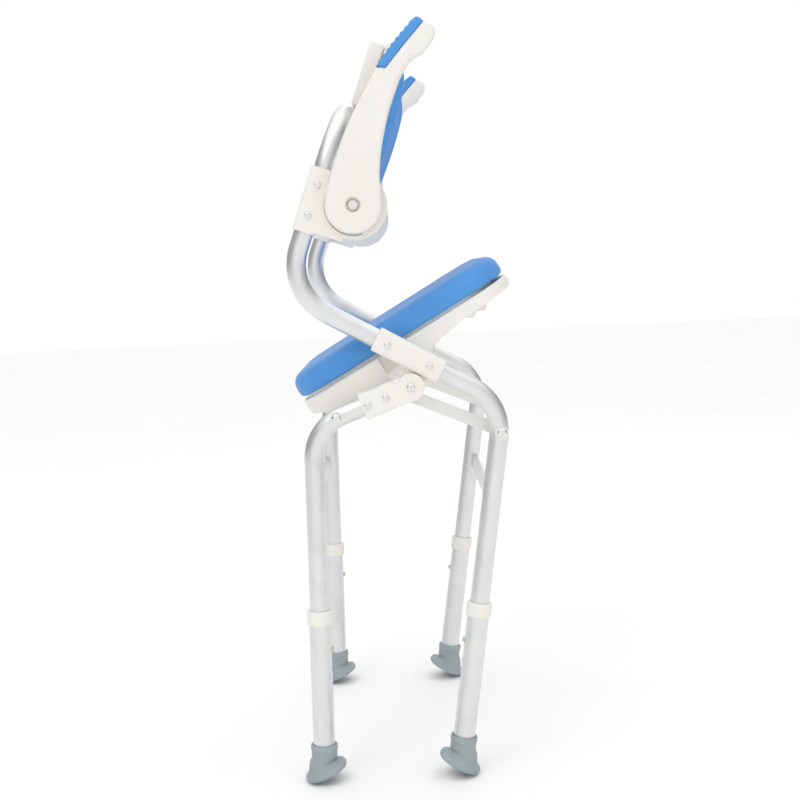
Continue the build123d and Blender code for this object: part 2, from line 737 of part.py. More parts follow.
pad_front = shell_front + back_pad_thickness
pad_side = [
    (shell_front, back_low + 6),
    (pad_front - 8, back_low + 8),
    (pad_front, back_low + 40),
    (pad_front, back_low + 90),
    (pad_front - 5, back_low + 140),
    (pad_front - 12, back_low + 176),
    (shell_front, back_low + 186),
]
back_pad = rounded(wrapped(outline_xz(pad_side), back_wrap), back_low + 6, back_low + 186, 3)
nodes["backrest_pad"] = turned(back_pad, back_angle - 90)

# Cross bars between the legs of each frame, shaped to the tubes at both ends


def cross_bar(corner, leg_angle, down, offset):
    bar = Plane.XZ.offset(-half) * SlotOverall(bar_depth, bar_thickness, rotation=90)
    bar = extrude(bar, amount=frame_width)
    hole = Plane.XZ.offset(-half) * SlotOverall(bar_depth - 3, bar_thickness - 3, rotation=90)
    bar -= extrude(hole, amount=frame_width)
    for sign in (-1, 1):
        bar -= Pos(-offset, sign * half, 0) * Cylinder(tube_radius, 100)
    return turned(Pos(offset, 0, -down) * bar, leg_angle + 90, corner)


nodes["front_cross_bar"] = cross_bar(front_corner, front_leg_angle, front_bar_at, bar_offset)
nodes["rear_cross_bar"] = cross_bar(arm_corner, rear_leg_angle, rear_bar_at, -bar_offset)


# Telescopic lower legs with collar, button and foot
def lower_parts(leg_length, collar_at, hole_side, open_leg_angle):
    """Lower leg drawn hanging straight down from the frame corner, on the right side."""
    top = collar_at - collar_height / 2 + collar_lip
    bottom = leg_length - sole_thickness
    axis_down = Pos(0, -half, -(top + bottom) / 2)
    length = bottom - top
    tube = axis_down * (Cylinder(lower_radius, length) - Cylinder(lower_radius - lower_wall, length))
    for step in range(hole_count):
        depth = collar_at + first_hole + step * hole_pitch
        drill = Rot(0, 90, 0) * Cylinder(hole_radius, lower_radius)
        tube -= Pos(hole_side * lower_radius, -half, -depth) * drill
    collar = Pos(0, -half, -collar_at) * Cylinder(collar_outer / 2, collar_height)
    collar = fillet(collar.edges().filter_by(GeomType.CIRCLE), 1.5)
    collar -= Pos(0, -half, -collar_at) * Cylinder(tube_radius + 0.25, collar_height + 2)
    collar -= Pos(0, -half, -collar_at - collar_lip) * Cylinder(lower_radius + fit, collar_height)
    button_length = lower_wall + button_stand
    button_middle = lower_radius - lower_wall + 0.05 + button_length / 2
    button = Rot(0, 90 * hole_side, 0) * Cylinder(button_radius, button_length)
    button = fillet(button.faces().sort_by(Axis.X)[-1 if hole_side > 0 else 0].edges(), 2.0)
    button = Pos(hole_side * button_middle, -half, -collar_at - first_hole) * button
    lean = open_leg_angle + 90
    skirt = Cylinder(foot_radius, foot_rim)
    skirt = fillet(skirt.edges().filter_by(GeomType.CIRCLE), foot_rim_round)
    skirt = Pos(hole_side * foot_lead, 0, foot_rim / 2) * skirt
    skirt += Pos(0, 0, foot_rim + foot_cone_height / 2 - 2) * Cone(
        foot_radius - 6, socket_outer / 2, foot_cone_height
    )
    skirt = Rot(0, lean, 0) * skirt
    sleeve = Cylinder(socket_outer / 2, socket_height - 6)
    sleeve = fillet(sleeve.faces().sort_by(Axis.Z)[-1].edges(), 1.2)
    foot = skirt + Pos(0, 0, (socket_height + 6) / 2) * sleeve
    foot -= Pos(0, 0, sole_thickness + socket_height / 2) * Cylinder(lower_radius + fit, socket_height)
    foot = Pos(0, -half, -leg_length) * foot
    return {"lower_leg": tube, "collar": collar, "snap_button": button, "foot": foot}


leg_sets = (
    ("front", front_corner, front_leg_angle, front_length, front_collar_at, -1, front_opening),
    ("rear", arm_corner, rear_leg_angle, rear_length, rear_collar_at, 1, -rear_opening),
)
for place, corner, leg_angle, leg_length, collar_at, hole_side, opening in leg_sets:
    pieces = lower_parts(leg_length, collar_at, hole_side, leg_angle + opening)
    for name, shape in pieces.items():
        both(name + "_" + place, turned(shape, leg_angle + 90, corner))

# Screws that hold the backrest saddles to the loop
saddle_screws = []
for y in (-saddle_centre - 10, -saddle_centre + 10, saddle_centre - 10, saddle_centre + 10):
    screw = Pos(loop_level[0] - tube_radius - 0.7, y, loop_level[1]) * Rot(0, -90, 0)
    screw = screw * Cylinder(screw_head, 1.4)
    saddle_screws.append(turned(screw, back_angle - 90))
nodes["backrest_screws"] = Compound(children=saddle_screws)

# Stand the chair on the floor with its box centred, and write one file for each node
boxes = [shape.bounding_box() for shape in nodes.values()]
low = [min(getattr(box.min, axis) for box in boxes) for axis in "XYZ"]
high = [max(getattr(box.max, axis) for box in boxes) for axis in "XYZ"]
shift = (-(low[0] + high[0]) / 2, -low[2])
for name, shape in nodes.items():
    export_step(Pos(shift[0], 0, shift[1]) * shape, f"parts/{name}.step")

pivots = {"scissor": origin, "seat": seat_pivot, "link": link_pivot, "pin": seat_pin, "hub": hub}
for name, spot in pivots.items():
    print(name, round(spot[0] + shift[0], 3), round(spot[1] + shift[1], 3))
print("legs", round(front_length, 2), round(rear_length, 2), "link", round(link_length, 2), round(link_angle, 2))
print("size", [round(b - a, 1) for a, b in zip(low, high)])
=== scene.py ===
import bmesh
import bpy
import json
from math import asin, cos, hypot, pi, radians, sin
from mathutils import Matrix, Quaternion, Vector


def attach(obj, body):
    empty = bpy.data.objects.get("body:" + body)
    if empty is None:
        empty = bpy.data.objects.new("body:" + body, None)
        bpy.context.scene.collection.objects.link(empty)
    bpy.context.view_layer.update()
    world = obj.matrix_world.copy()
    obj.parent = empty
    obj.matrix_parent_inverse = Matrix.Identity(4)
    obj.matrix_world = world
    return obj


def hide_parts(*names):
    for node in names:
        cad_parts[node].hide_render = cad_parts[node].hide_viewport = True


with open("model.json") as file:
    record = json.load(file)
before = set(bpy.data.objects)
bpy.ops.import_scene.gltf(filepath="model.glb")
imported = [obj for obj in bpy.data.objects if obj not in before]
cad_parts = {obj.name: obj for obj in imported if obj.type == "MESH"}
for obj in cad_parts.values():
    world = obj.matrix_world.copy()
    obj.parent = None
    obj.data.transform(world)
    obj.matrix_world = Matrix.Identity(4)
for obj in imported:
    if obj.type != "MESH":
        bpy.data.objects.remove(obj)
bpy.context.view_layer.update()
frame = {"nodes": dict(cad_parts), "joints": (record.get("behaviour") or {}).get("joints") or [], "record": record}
nodes = frame["nodes"]
joints = {joint["name"]: joint for joint in frame["joints"]}
mounts = {mount["name"]: mount for mount in frame["record"]["mounts"]}
scene = bpy.context.scene
mm = 0.001
sides = {"right": -1, "left": 1}


def pivotOf(name):
    return Vector(joints[name]["pos_m"])


# local X runs at the angle above the floor, local Z square to it, local Y across the chair
def placed(angle, origin):
    return Matrix.Translation(origin) @ Matrix.Rotation(-radians(angle), 4, "Y")


# box of a frame node in one of those places
def localBox(name, place):
    inverse = place.inverted()
    spots = [inverse @ vert.co for vert in nodes[name].data.vertices]
    low = Vector([min(spot[axis] for spot in spots) for axis in range(3)])
    high = Vector([max(spot[axis] for spot in spots) for axis in range(3)])
    return low, high


lean = {"seat": 29.5, "back": -20.5}  # the seat's rise, and the back's tilt from upright
scissor = pivotOf("fold")
seatPlace = placed(lean["seat"], scissor)
backPlace = placed(lean["back"], scissor)
print("frame loaded:", len(nodes), "nodes")


# camera and studio
view = {
    "fromPivot": (-0.018, -1.913, 0.1486),  # camera's place from the scissor pivot
    "yaw": 0.11,
    "pitch": 5.57,
    "roll": 2.67,
    "focal": 59.29,
}


def addCamera():
    yaw, pitch = radians(view["yaw"]), radians(view["pitch"])
    ahead = Vector((sin(yaw) * cos(pitch), cos(yaw) * cos(pitch), -sin(pitch)))
    data = bpy.data.cameras.new("camera")
    data.lens = view["focal"]
    data.sensor_width = 36
    data.clip_start, data.clip_end = 0.05, 50
    camera = bpy.data.objects.new("camera", data)
    scene.collection.objects.link(camera)
    camera.rotation_mode = "QUATERNION"
    camera.rotation_quaternion = (
        ahead.to_track_quat("-Z", "Y").to_matrix() @ Matrix.Rotation(radians(-view["roll"]), 3, "Z")
    ).to_quaternion()
    camera.location = scissor + Vector(view["fromPivot"])
    scene.camera = camera


studio = {
    "floor": (0.93, 0.93, 0.93),
    "world": 1.0,
    "sideLight": 0.36,  # brightness of the dark flags at both sides
    "topLight": 1.4,
    "sideFrom": (0.34, 0.52),  # sideways part of the direction where they fade in
    "frontFrom": (0.45, 0.9),
    "topFrom": (0.35, 0.85),
    "lamps": [  # name, place, size, watts
        ("key", (-1.4, -2.2, 2.9), 1.4, 13),
        ("fill", (2.4, -1.8, 1.6), 2.2, 4),
        ("back", (0.6, 2.4, 2.4), 1.6, 5),
    ],
}


def addStudio():
    world = bpy.data.worlds.new("studio")
    world.use_nodes = True
    background = world.node_tree.nodes["Background"]
    background.inputs["Strength"].default_value = studio["world"]
    scene.world = world
    tree = world.node_tree
    parts = tree.nodes.new("ShaderNodeSeparateXYZ")
    tree.links.new(tree.nodes.new("ShaderNodeTexCoord").outputs["Generated"], parts.inputs[0])
    sideways = mathNode(tree, "ABSOLUTE", parts.outputs["X"])
    ahead = mathNode(tree, "MULTIPLY", parts.outputs["Y"], -1)
    side = spread(tree, sideways, 1, studio["sideLight"], *studio["sideFrom"])
    front = spread(tree, ahead, 0, 1, *studio["frontFrom"])
    top = spread(tree, parts.outputs["Z"], 0, studio["topLight"], *studio["topFrom"])
    light = mathNode(tree, "MAXIMUM", mathNode(tree, "MAXIMUM", side, front), top)
    tree.links.new(light, background.inputs["Color"])
    for name, place, size, watts in studio["lamps"]:
        lamp = bpy.data.lights.new(name, "AREA")
        lamp.size = size
        lamp.energy = watts
        holder = bpy.data.objects.new(name, lamp)
        holder.location = place
        holder.rotation_euler = (Vector((0, 0, 0.5)) - Vector(place)).to_track_quat("-Z", "Y").to_euler()
        scene.collection.objects.link(holder)
    shape = bmesh.new()
    bmesh.ops.create_grid(shape, x_segments=1, y_segments=1, size=12)
    mesh = bpy.data.meshes.new("floor")
    shape.to_mesh(mesh)
    shape.free()
    floor = bpy.data.objects.new("floor", mesh)
    scene.collection.objects.link(floor)
    mesh.materials.append(floorFinish())
    scene.view_settings.view_transform = "Standard"


# finishes
def mathNode(tree, operation, *values):
    node = tree.nodes.new("ShaderNodeMath")
    node.operation = operation
    for socket, value in zip(node.inputs, values):
        if isinstance(value, (int, float)):
            socket.default_value = value
        else:
            tree.links.new(value, socket)
    return node.outputs["Value"]


def startMaterial(name):
    material = bpy.data.materials.new(name)
    material.use_nodes = True
    tree = material.node_tree
    shader = tree.nodes["Principled BSDF"]
    coords = tree.nodes.new("ShaderNodeTexCoord")
    return material, tree, shader, coords.outputs["Object"]


def noise(tree, coords, scale, detail=3.0, rough=0.5, stretch=None):
    if stretch:
        mapping = tree.nodes.new("ShaderNodeMapping")
        mapping.inputs["Scale"].default_value = stretch
        tree.links.new(coords, mapping.inputs["Vector"])
        coords = mapping.outputs["Vector"]
    texture = tree.nodes.new("ShaderNodeTexNoise")
    texture.inputs["Scale"].default_value = scale
    texture.inputs["Detail"].default_value = detail
    texture.inputs["Roughness"].default_value = rough
    tree.links.new(coords, texture.inputs["Vector"])
    return texture.outputs["Fac"]


def spread(tree, value, low, high, start=0.35, end=0.65):
    fit = tree.nodes.new("ShaderNodeMapRange")
    for name, number in (("From Min", start), ("From Max", end), ("To Min", low), ("To Max", high)):
        fit.inputs[name].default_value = number
    tree.links.new(value, fit.inputs["Value"])
    return fit.outputs["Result"]


def blendColours(tree, value, dark, light):
    ramp = tree.nodes.new("ShaderNodeValToRGB")
    ramp.color_ramp.elements[0].position = 0.3
    ramp.color_ramp.elements[0].color = (*dark, 1)
    ramp.color_ramp.elements[1].position = 0.7
    ramp.color_ramp.elements[1].color = (*light, 1)
    tree.links.new(value, ramp.inputs["Fac"])
    return ramp.outputs["Color"]


def bumpFrom(tree, shader, value, strength, distance):
    bump = tree.nodes.new("ShaderNodeBump")
    bump.inputs["Strength"].default_value = strength
    bump.inputs["Distance"].default_value = distance
    tree.links.new(value, bump.inputs["Height"])
    tree.links.new(bump.outputs["Normal"], shader.inputs["Normal"])


def floorFinish():
    material, tree, shader, coords = startMaterial("floorPaper")
    patches = noise(tree, coords, 3.0)
    tree.links.new(
        blendColours(tree, patches, (0.95, 0.95, 0.95), (0.97, 0.97, 0.97)), shader.inputs["Base Color"]
    )
    shader.inputs["Roughness"].default_value = 0.9
    return material


def satinTubeFinish():
    material, tree, shader, coords = startMaterial("satinTube")
    mottle = noise(tree, coords, 28.0, 4.0)
    grain = noise(tree, coords, 1400.0, 2.0)
    tree.links.new(
        blendColours(tree, mottle, (0.72, 0.725, 0.73), (0.78, 0.785, 0.79)), shader.inputs["Base Color"]
    )
    shader.inputs["Metallic"].default_value = 1.0
    tree.links.new(spread(tree, grain, 0.33, 0.45), shader.inputs["Roughness"])
    bumpFrom(tree, shader, grain, 0.12, 0.0002)
    return material


def whiteMouldingFinish():
    material, tree, shader, coords = startMaterial("whiteMoulding")
    mottle = noise(tree, coords, 9.0, 3.0)
    grain = noise(tree, coords, 900.0, 2.0)
    tree.links.new(
        blendColours(tree, mottle, (0.85, 0.83, 0.775), (0.88, 0.865, 0.82)), shader.inputs["Base Color"]
    )
    tree.links.new(spread(tree, grain, 0.38, 0.52), shader.inputs["Roughness"])
    shader.inputs["Subsurface Weight"].default_value = 0.06
    shader.inputs["Subsurface Radius"].default_value = (0.004, 0.003, 0.002)
    bumpFrom(tree, shader, grain, 0.10, 0.0003)
    return material


def blueFoamFinish():
    material, tree, shader, coords = startMaterial("blueFoam")
    mottle = noise(tree, coords, 14.0, 4.0)
    cells = noise(tree, coords, 1100.0, 3.0, 0.6)
    tree.links.new(
        blendColours(tree, mottle, (0.060, 0.270, 0.66), (0.078, 0.315, 0.73)), shader.inputs["Base Color"]
    )
    tree.links.new(spread(tree, cells, 0.56, 0.74), shader.inputs["Roughness"])
    shader.inputs["Sheen Weight"].default_value = 0.15
    bumpFrom(tree, shader, cells, 0.25, 0.0004)
    return material


def greyRubberFinish():
    material, tree, shader, coords = startMaterial("greyRubber")
    mottle = noise(tree, coords, 30.0, 4.0)
    grain = noise(tree, coords, 700.0, 3.0)
    tree.links.new(
        blendColours(tree, mottle, (0.315, 0.37, 0.385), (0.37, 0.425, 0.435)), shader.inputs["Base Color"]
    )
    tree.links.new(spread(tree, grain, 0.55, 0.75), shader.inputs["Roughness"])
    bumpFrom(tree, shader, grain, 0.2, 0.0004)
    return material


def screwSteelFinish():
    material, tree, shader, coords = startMaterial("screwSteel")
    grain = noise(tree, coords, 900.0, 2.0, 0.5, (1, 8, 1))
    tree.links.new(
        blendColours(tree, grain, (0.74, 0.73, 0.71), (0.84, 0.83, 0.81)), shader.inputs["Base Color"]
    )
    shader.inputs["Metallic"].default_value = 1.0
    tree.links.new(spread(tree, grain, 0.12, 0.24), shader.inputs["Roughness"])
    return material


def buttonMetalFinish():
    material, tree, shader, coords = startMaterial("buttonMetal")
    grain = noise(tree, coords, 800.0, 2.0)
    tree.links.new(
        blendColours(tree, grain, (0.62, 0.54, 0.40), (0.70, 0.62, 0.47)), shader.inputs["Base Color"]
    )
    shader.inputs["Metallic"].default_value = 1.0
    tree.links.new(spread(tree, grain, 0.25, 0.4), shader.inputs["Roughness"])
    return material


def whiteLinkFinish():
    material, tree, shader, coords = startMaterial("whiteLink")
    mottle = noise(tree, coords, 40.0, 3.0)
    peel = noise(tree, coords, 450.0, 2.0)
    tree.links.new(
        blendColours(tree, mottle, (0.80, 0.79, 0.76), (0.85, 0.84, 0.81)), shader.inputs["Base Color"]
    )
    tree.links.new(spread(tree, peel, 0.3, 0.4), shader.inputs["Roughness"])
    bumpFrom(tree, shader, peel, 0.12, 0.0004)
    return material


finishes = {
    "satin_tube": satinTubeFinish(),
    "white_plastic": whiteMouldingFinish(),
    "blue_foam": blueFoamFinish(),
    "grey_rubber": greyRubberFinish(),
    "screw_steel": screwSteelFinish(),
    "button_metal": buttonMetalFinish(),
    "white_link": whiteLinkFinish(),
}


# shaping tools
def roundedPanel(length, width, corner, steps=8):
    shape = bmesh.new()
    bmesh.ops.create_grid(shape, x_segments=1, y_segments=1, size=0.5)
    bmesh.ops.scale(shape, vec=(length, width, 1), verts=shape.verts)
    bmesh.ops.bevel(
        shape, geom=shape.verts[:], offset=corner, segments=steps, profile=0.5, affect="VERTICES", material=-1
    )
    return shape


# each ring is (in from the outline, height) and the top face climbs through them
def stackRings(shape, length, width, rings):
    shape.faces.ensure_lookup_table()
    top = shape.faces[0]
    inset, height = 0.0, 0.0
    started = False
    for newInset, newHeight in rings:
        if (newInset, newHeight) != (inset, height):
            if started:
                grown = bmesh.ops.extrude_face_region(shape, geom=[top])["geom"]
                top = [item for item in grown if isinstance(item, bmesh.types.BMFace)][0]
            ratio = [(size - 2 * newInset) / (size - 2 * inset) for size in (length, width)]
            bmesh.ops.scale(shape, vec=(*ratio, 1), verts=top.verts)
            bmesh.ops.translate(shape, vec=(0, 0, newHeight - height), verts=top.verts)
            inset, height = newInset, newHeight
            started = True
    return shape


def box(low, high, edge=0.0, steps=3):
    shape = bmesh.new()
    bmesh.ops.create_cube(shape, size=1)
    bmesh.ops.scale(shape, vec=[b - a for a, b in zip(low, high)], verts=shape.verts)
    bmesh.ops.translate(shape, vec=[(a + b) / 2 for a, b in zip(low, high)], verts=shape.verts)
    if edge:
        bmesh.ops.bevel(
            shape, geom=shape.edges[:], offset=edge, segments=steps, profile=0.5, affect="EDGES", material=-1
        )
    return shape


def joined(shapes):
    whole = bmesh.new()
    for shape in shapes:
        mesh = bpy.data.meshes.new("part")
        shape.to_mesh(mesh)
        shape.free()
        whole.from_mesh(mesh)
        bpy.data.meshes.remove(mesh)
    return whole


# what a live object looks like with its modifiers, as a bmesh; the object goes
def baked(thing):
    mesh = bpy.data.meshes.new_from_object(thing.evaluated_get(bpy.context.evaluated_depsgraph_get()))
    shape = bmesh.new()
    shape.from_mesh(mesh)
    bpy.data.objects.remove(thing)
    bpy.data.meshes.remove(mesh)
    return shape


# even small faces and soft edges, as foam has
def remeshed(shape, voxel, rounds):
    mesh = bpy.data.meshes.new("cage")
    shape.to_mesh(mesh)
    shape.free()
    cage = bpy.data.objects.new("cage", mesh)
    scene.collection.objects.link(cage)
    remesh = cage.modifiers.new("remesh", "REMESH")
    remesh.mode = "VOXEL"
    remesh.voxel_size = voxel
    smooth = cage.modifiers.new("smooth", "SMOOTH")
    smooth.factor = 0.5
    smooth.iterations = rounds
    return baked(cage)


# plate with rounded edges from a closed outline; its sides face along Y
def softPlate(spots, thickness, edge, hole=0.0):
    curve = bpy.data.curves.new("outline", "CURVE")
    curve.dimensions = "2D"
    curve.fill_mode = "BOTH"
    curve.resolution_u = 6
    curve.extrude = thickness / 2 - edge
    curve.bevel_depth = edge
    curve.bevel_resolution = 3
    curve.offset = -edge
    loops = [spots]
    if hole:
        loops.append([(hole * cos(turn * pi / 4), hole * sin(turn * pi / 4), "AUTO") for turn in range(8)])
    for loop in loops:
        spline = curve.splines.new("BEZIER")
        spline.bezier_points.add(len(loop) - 1)
        spline.use_cyclic_u = True
        for knot, (along, across, handle) in zip(spline.bezier_points, loop):
            knot.co = (along, across, 0)
            knot.handle_left_type = knot.handle_right_type = handle
    plate = bpy.data.objects.new("outline", curve)
    scene.collection.objects.link(plate)
    bpy.context.view_layer.update()
    shape = baked(plate)
    bmesh.ops.remove_doubles(shape, verts=shape.verts, dist=0.02 * mm)
    bmesh.ops.rotate(shape, matrix=Matrix.Rotation(pi / 2, 3, "X"), verts=shape.verts)
    return shape


def slicedAlongY(shape, low, high, count):
    for step in range(1, count):
        spot = low + (high - low) * step / count
        geometry = shape.verts[:] + shape.edges[:] + shape.faces[:]
        bmesh.ops.bisect_plane(shape, geom=geometry, plane_co=(0, spot, 0), plane_no=(0, 1, 0))


def addPiece(name, shape, place, slotName, body, *replaced, flat=False):
    bmesh.ops.transform(shape, matrix=place, verts=shape.verts)
    bmesh.ops.recalc_face_normals(shape, faces=shape.faces)
    mesh = bpy.data.meshes.new(name)
    shape.to_mesh(mesh)
    shape.free()
    for face in mesh.polygons:
        face.use_smooth = not flat
    mesh.materials.append(finishes[slotName])
    piece = bpy.data.objects.new(name, mesh)
    scene.collection.objects.link(piece)
    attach(piece, body)
    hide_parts(*replaced)
    return piece


# how far inside a rounded rectangle a spot is
def depthInside(x, y, length, width, corner):
    overX = abs(x) - (length / 2 - corner)
    overY = abs(y) - (width / 2 - corner)
    return corner - hypot(max(overX, 0), max(overY, 0)) - min(max(overX, overY), 0)


def ramp(value, start, end):
    part = min(max((value - start) / (end - start), 0), 1)
    return part * part * (3 - 2 * part)


# seat cushion: moulded foam, an upright side band and a crown behind a soft crease
seatCushion = {
    "corner": 60 * mm,
    "foot": 3 * mm,  # rounding at the shell
    "band": 15 * mm,  # height of the side band
    "shoulder": 17 * mm,
    "dish": 3.5 * mm,  # how far the middle is sunk
    "dishFrom": 30 * mm,  # in from the side
    "dishTo": 120 * mm,
    "creaseAt": 19 * mm,  # in from the side
    "creaseDeep": 1.1 * mm,
    "creaseHalf": 3 * mm,
    "voxel": 3 * mm,
    "smoothing": 9,
    "fill": 0.6,
}


def makeSeatCushion():
    part = seatCushion
    low, high = localBox("seat_pad", seatPlace)
    length, width, height = high - low
    foot, shoulder = part["foot"], part["shoulder"]
    rings = [(foot, 0), (foot * 0.3, foot * 0.3), (0, foot), (0, part["band"])]
    for step in range(1, 6):
        turn = step / 5 * pi / 2
        rings.append((shoulder * (1 - cos(turn)), part["band"] + (height - part["band"]) * sin(turn)))
    shape = stackRings(roundedPanel(length, width, part["corner"]), length, width, rings)
    shape = remeshed(shape, part["voxel"], part["smoothing"])
    for vert in shape.verts:
        if vert.co.z > height / 2:
            inside = depthInside(vert.co.x, vert.co.y, length, width, part["corner"])
            vert.co.z -= part["dish"] * ramp(inside, part["dishFrom"], part["dishTo"])
            groove = 1 - min(abs(inside - part["creaseAt"]) / part["creaseHalf"], 1)
            vert.co.z -= part["creaseDeep"] * groove * groove * (3 - 2 * groove)
    middle = Matrix.Translation(((low.x + high.x) / 2, 0, low.z))
    cushion = addPiece("seatCushion", shape, seatPlace @ middle, "blue_foam", "seat", "seat_pad")


# backrest: panel and cushion are made flat and then wrapped round an upright axis
backrest = {
    "radius": 585 * mm,
    "gap": 0.5 * mm,  # between the loop and the shell
    "wall": 12 * mm,
    "corner": 38 * mm,
    "edge": 4 * mm,
    "slices": 36,
    "ribWidth": 3.2 * mm,
    "ribHeight": 1.4 * mm,
    "ribPitch": 11 * mm,
    "ribs": 6,
    "ribsFrom": 114 * mm,
    "ribInset": 16 * mm,
    "ribStep": 1.5 * mm,
    "ribRound": 1.2 * mm,
    "housingHalf": 105 * mm,
    "housingEdge": 5 * mm,
    "housingRise": 6.5 * mm,  # above the loop
    "housingSink": 8 * mm,  # into the shell
    "housingDrop": 1.5 * mm,  # below the shell's top
    "trim": 10 * mm,  # shell's top below the box of the node
    "padTrim": 7 * mm,
    "padThick": 20 * mm,
    "padBand": 5 * mm,
    "padShoulder": 12 * mm,
    "padFoot": 3 * mm,
    "padCorner": 34 * mm,
    "padVoxel": 3 * mm,
    "padSmoothing": 5,
    "padGroove": 1.2 * mm,
    "grooveAt": 20 * mm,
    "grooveHalf": 3 * mm,
    "padGap": 0.2 * mm,
    "thinnest": 0.45,  # of the pad's thickness, at its ends
    "fill": 0.6,
}


# from flat (Z ahead of the rear face, Y along the arc, X down) to the wrapped panel
def wrapPanel(shape, rear, top):
    for vert in shape.verts:
        turn = vert.co.y / backrest["radius"]
        reach = backrest["radius"] - vert.co.z
        vert.co = Vector((rear + backrest["radius"] - reach * cos(turn), reach * sin(turn), top - vert.co.x))


def makeBackrestShell():
    part = backrest
    low, high = localBox("backrest_shell", backPlace)
    high.z -= part["trim"]
    rear = localBox("back_loop", backPlace)[1].x + part["gap"]
    loopTop = localBox("back_loop", backPlace)[1].z
    length = high.z - low.z
    width = 2 * part["radius"] * asin(high.y / part["radius"])
    edge, wall = part["edge"], part["wall"]
    rings = []
    for step in range(5):
        turn = step / 4 * pi / 2
        rings.append((edge * (1 - sin(turn)), edge * (1 - cos(turn))))
    rings += [(inset, wall - height) for inset, height in reversed(rings)]
    panel = stackRings(roundedPanel(length, width, part["corner"], 10), length, width, rings)
    bars = [panel]
    for sign in (-1, 1):
        for index in range(part["ribs"]):
            middle = sign * (part["ribsFrom"] + index * part["ribPitch"])
            halfLong = length / 2 - part["ribInset"] - index * part["ribStep"]
            halfWide = part["ribWidth"] / 2
            bars.append(
                box(
                    (-halfLong, middle - halfWide, -part["ribHeight"]),
                    (halfLong, middle + halfWide, 2 * mm),
                    part["ribRound"],
                )
            )
    shape = joined(bars)
    slicedAlongY(shape, -width / 2, width / 2, part["slices"])
    wrapPanel(shape, rear, (low.z + high.z) / 2)
    half = part["housingHalf"]
    housing = box(
        (low.x, -half, loopTop + part["housingRise"]),
        (rear + part["housingSink"], half, high.z - part["housingDrop"]),
        part["housingEdge"],
    )
    shape = joined([shape, housing])
    addPiece("backrestShell", shape, backPlace, "white_plastic", "front_frame", "backrest_shell")


def makeBackrestCushion():
    part = backrest
    low, high = localBox("backrest_pad", backPlace)
    high.z -= part["padTrim"]
    rear = localBox("back_loop", backPlace)[1].x + part["gap"]
    length = high.z - low.z
    width = 2 * part["radius"] * asin(high.y / (part["radius"] - part["wall"]))
    thick, band = part["padThick"], part["padBand"]
    rings = [(part["padFoot"], 0), (0, part["padFoot"]), (0, band)]
    for step in range(1, 6):
        turn = step / 5 * pi / 2
        rings.append((part["padShoulder"] * (1 - cos(turn)), band + (thick - band) * sin(turn)))
    shape = stackRings(roundedPanel(length, width, part["padCorner"]), length, width, rings)
    shape = remeshed(shape, part["padVoxel"], part["padSmoothing"])
    for vert in shape.verts:
        down = vert.co.x / length + 0.5  # 0 at the top edge
        belly = part["thinnest"] + (1 - part["thinnest"]) * sin(pi * min(max(0.12 + 0.8 * down, 0), 1)) ** 0.8
        vert.co.z *= belly
        inside = depthInside(vert.co.x, vert.co.y, length, width, part["corner"])
        if vert.co.z > thick * belly / 2:
            groove = 1 - min(abs(inside - part["grooveAt"]) / part["grooveHalf"], 1)
            vert.co.z -= part["padGroove"] * groove * groove * (3 - 2 * groove)
        vert.co.z += part["wall"] + part["padGap"]
    wrapPanel(shape, rear, (low.z + high.z) / 2)
    cushion = addPiece("backrestCushion", shape, backPlace, "blue_foam", "front_frame", "backrest_pad")


# armrests, drawn from the hub with X along the blade
armrest = {
    "angle": 66.3,
    "hub": 35.8 * mm,
    "edge": 4.5 * mm,
    # outline knots in millimetres, along the blade and across it
    "front": [
        (51, -16), (102, -3.2), (150, 1.2), (178, 0.2), (195, -5.5), (206, -14), (219, -17.8), (232, -19.6),
    ],
    "tip": [(239.5, -13)],
    "notch": [(240.5, -0.5), (205, 12), (171, 22.5), (168, 33.5)],
    "back": [(120, 39), (84, 41.8), (40, 40.5)],
    "padBevel": 2.2 * mm,
    "padTop": (241.5, 10),
    "waves": 8,
    "waveHigh": 1.3 * mm,
    "recess": 6 * mm,
    "recessRadius": 8.4 * mm,
    "padProud": 0.6 * mm,
    "bow": 1.5 * mm,
    "fill": 0.9,
}


